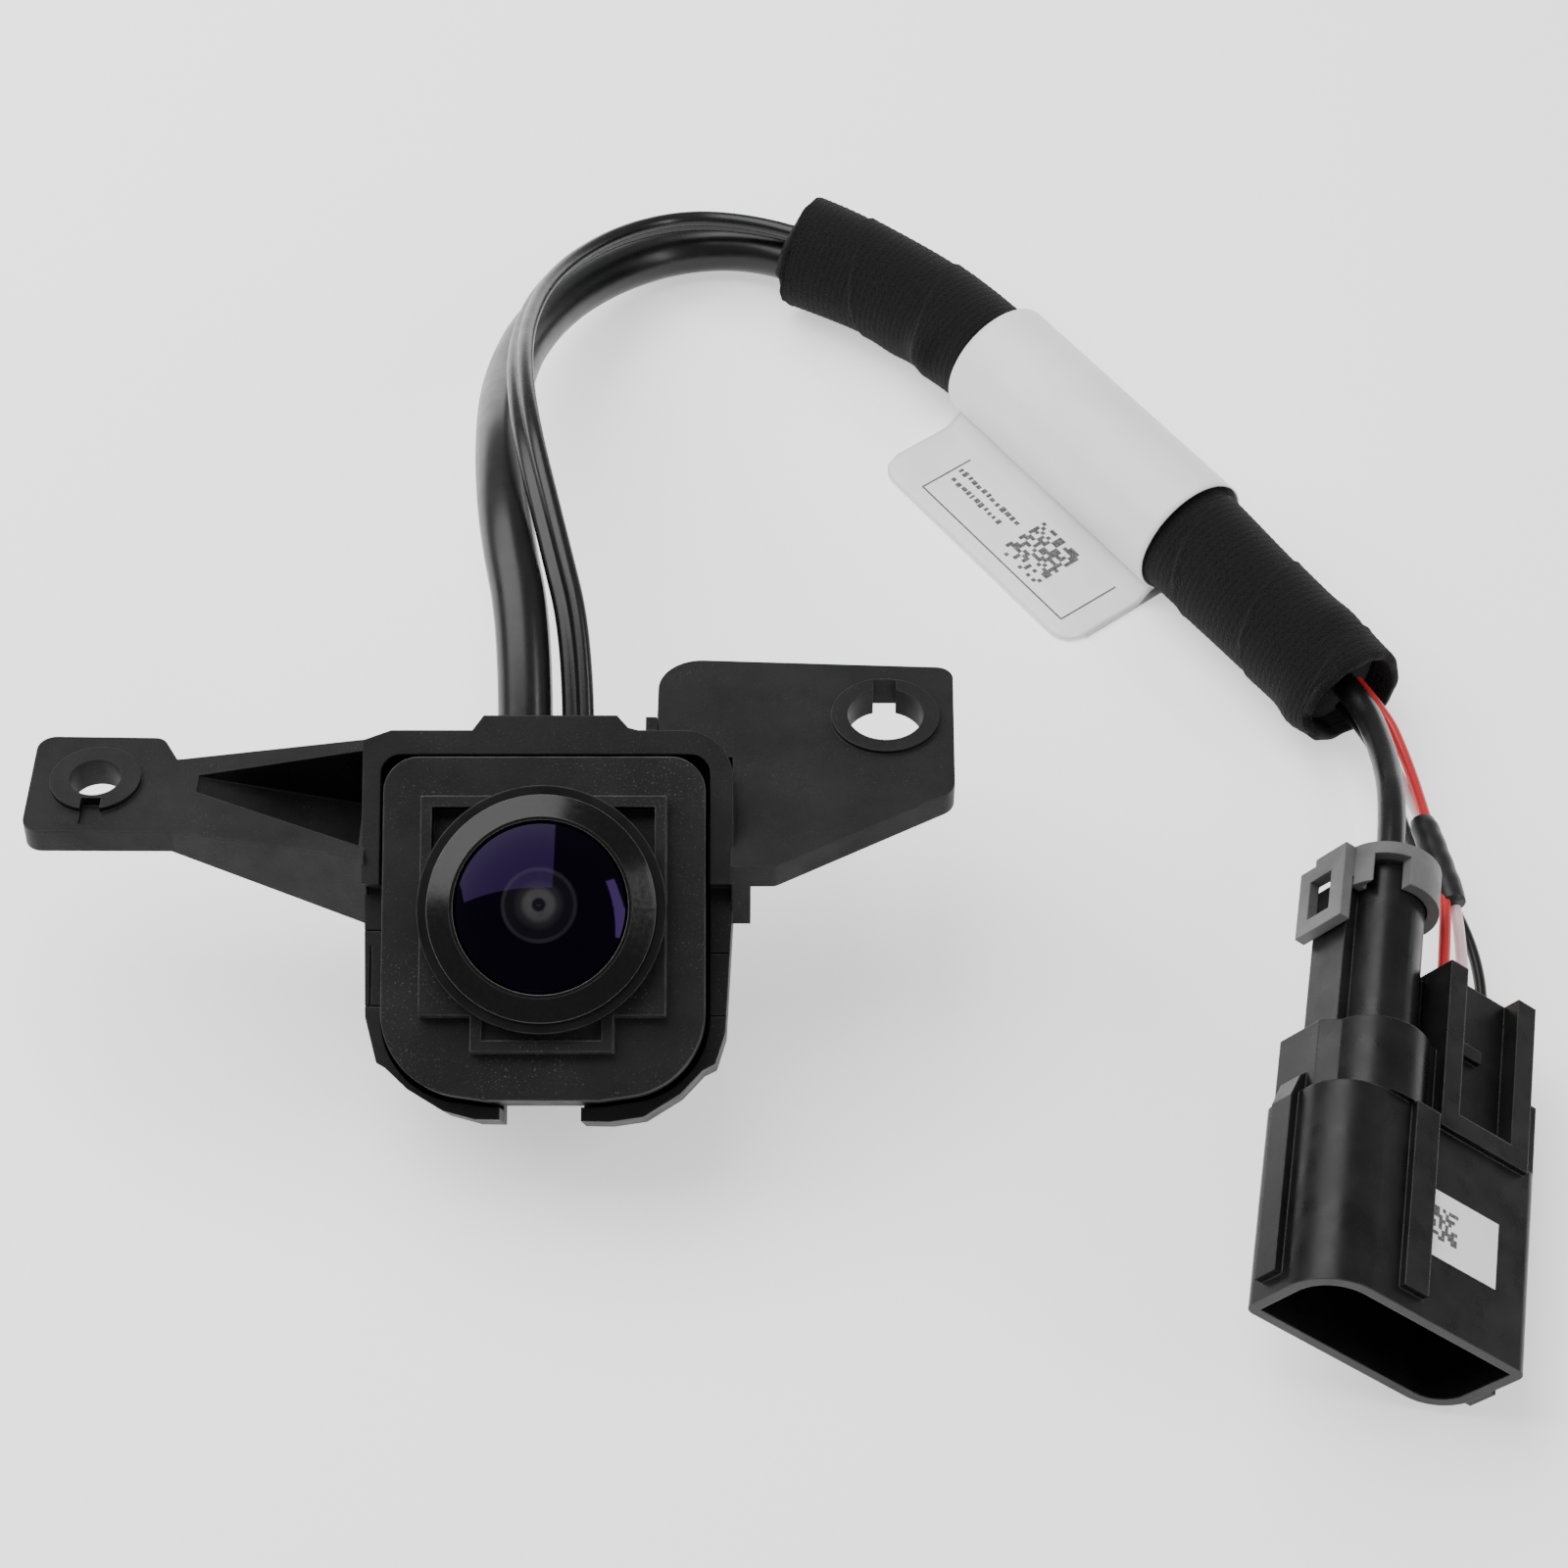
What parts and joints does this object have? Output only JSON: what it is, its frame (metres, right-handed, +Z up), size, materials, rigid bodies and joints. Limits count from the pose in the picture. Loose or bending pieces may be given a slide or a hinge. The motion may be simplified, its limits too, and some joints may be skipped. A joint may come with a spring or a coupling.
{
  "type": "backup camera kit",
  "caption": "Small dome-lens rear-view camera in a two-tab moulded bracket, with a short taped harness ending in a sealed plug.",
  "frame": {"origin": "middle of the camera unit's footprint, on the surface that the kit lies on", "axes": "+X along the two mounting tabs towards the plug, +Y away from the lens side towards the cable exit, +Z up"},
  "size_m": [0.1231, 0.1316, 0.0301],
  "materials": {
    "cover_plastic": "fine dusty grain",
    "bracket_plastic": "moulded satin",
    "lens_glass": "purple coated, polished",
    "barrel_plastic": "satin",
    "bezel_metal": "black anodised, satin",
    "seal_rubber": "matt",
    "seal_orange": "matt silicone",
    "board_green": "solder mask",
    "sensor_dark": "polished",
    "filter_glass": "blue tinted",
    "steel": "zinc plated",
    "contact_brass": "tin flashed",
    "header_plastic": "moulded",
    "cable_jacket": "satin vinyl",
    "tape_cloth": "ribbed cloth tape",
    "label_paper": "satin film with bars",
    "clip_grey": "moulded satin",
    "plug_plastic": "moulded satin",
    "lock_plastic": "moulded satin",
    "wire_red": "satin vinyl",
    "wire_white": "satin vinyl",
    "wire_black": "satin vinyl",
    "shrink_sleeve": "satin"
  },
  "bodies": {
    "root": {"front_cover": "cover_plastic", "rear_cover": "cover_plastic", "cover_seal": "seal_rubber", "cable_gland": "seal_rubber", "lens_barrel": "barrel_plastic", "bezel_ring": "bezel_metal", "front_lens": "lens_glass", "second_lens": "lens_glass", "third_lens": "lens_glass", "lens_spacer": "barrel_plastic", "aperture_stop": "barrel_plastic", "lens_o_ring": "seal_rubber", "image_sensor": "sensor_dark", "ir_filter": "filter_glass", "sensor_board": "board_green", "processor_board": "board_green", "board_connector": "header_plastic", "cable_header": "header_plastic", "shield_can": "steel", "board_screws": "steel", "board_spacers": "contact_brass", "mounting_bracket": "bracket_plastic", "connector_shell": "plug_plastic", "contact_pins": "contact_brass", "coax_contact": "contact_brass", "cable_seal": "seal_orange", "wire_seals": "seal_orange", "connector_label": "label_paper", "camera_cable": "cable_jacket", "power_pair": "cable_jacket", "harness_sleeve": "tape_cloth", "harness_label": "label_paper", "signal_lead": "cable_jacket", "red_wire": "wire_red", "white_wire": "wire_white", "black_wire": "wire_black", "shrink_tube": "shrink_sleeve"},
    "seal_retainer": {"seal_retainer": "clip_grey"},
    "terminal_lock": {"terminal_lock": "lock_plastic"}
  },
  "joints": [
    {"name": "retainer_slide", "type": "slide", "parent": "root", "child": "seal_retainer", "axis": [0.1633, 0.9866, 0], "range_m": [0, 0.0045]},
    {"name": "lock_slide", "type": "slide", "parent": "root", "child": "terminal_lock", "axis": [-0.1633, -0.9866, 0], "range_m": [0, 0.0018]}
  ]
}
